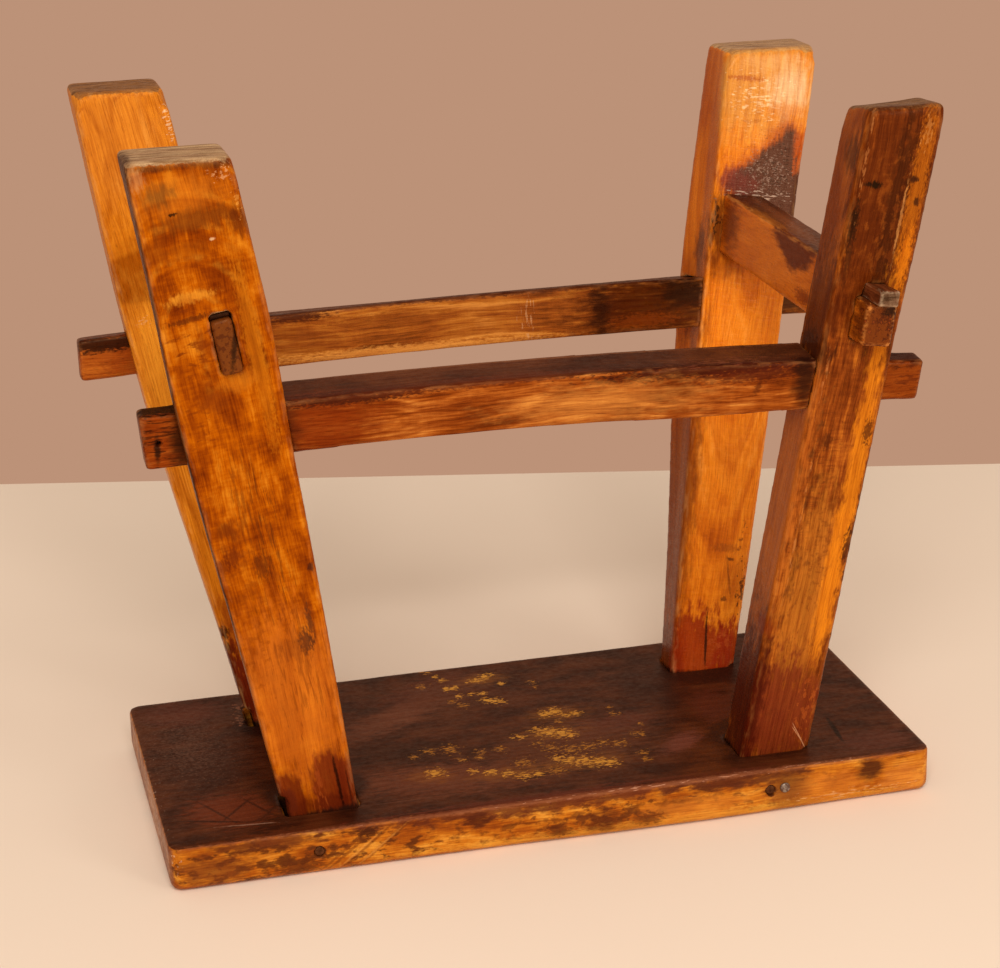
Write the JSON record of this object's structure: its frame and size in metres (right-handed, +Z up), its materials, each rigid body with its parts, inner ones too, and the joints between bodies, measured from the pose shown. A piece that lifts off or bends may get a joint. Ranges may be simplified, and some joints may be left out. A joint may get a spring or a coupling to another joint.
{
  "type": "child's stool",
  "caption": "Old child's stool in solid wood, turned over: a plank seat with splayed tapered legs tenoned through it, joined by wedged through rails at two heights.",
  "frame": {"origin": "middle of the sitting face, on the surface that it rests on: the stool is turned over, as in the picture, and turning it by half a turn about X stands it on its feet", "axes": "+X along the seat, from the left end to the right end; +Y across the seat, from the front to the back; +Z up, from the sitting face to the feet"},
  "size_m": [0.3507, 0.1925, 0.312],
  "materials": {
    "seat_wood": "old varnish, dark and worn, over an orange brown wood",
    "leg_wood": "old glossy varnish with dark stains, over an orange brown wood",
    "rail_wood": "old varnish over an orange brown wood, darker on top",
    "wedge_wood": "bare split wood, grey brown at the ends",
    "peg_wood": "worn wooden pegs, dark at the ends",
    "nail_iron": "old wrought iron, dull grey"
  },
  "bodies": {
    "root": {"seat_plank": "seat_wood", "leg_front_left": "leg_wood", "leg_front_right": "leg_wood", "leg_back_left": "leg_wood", "leg_back_right": "leg_wood", "long_rail_front": "rail_wood", "long_rail_back": "rail_wood", "end_rail_left": "rail_wood", "end_rail_right": "rail_wood", "rail_wedge_front_left": "wedge_wood", "rail_wedge_front_right": "wedge_wood", "rail_wedge_back_left": "wedge_wood", "rail_wedge_back_right": "wedge_wood", "seat_wedge_front_left": "wedge_wood", "seat_wedge_front_right": "wedge_wood", "seat_wedge_back_left": "wedge_wood", "seat_wedge_back_right": "wedge_wood", "edge_peg_front_left": "peg_wood", "edge_peg_front_right": "peg_wood", "edge_peg_back_left": "peg_wood", "edge_peg_back_right": "peg_wood", "edge_nail": "nail_iron"}
  },
  "joints": []
}
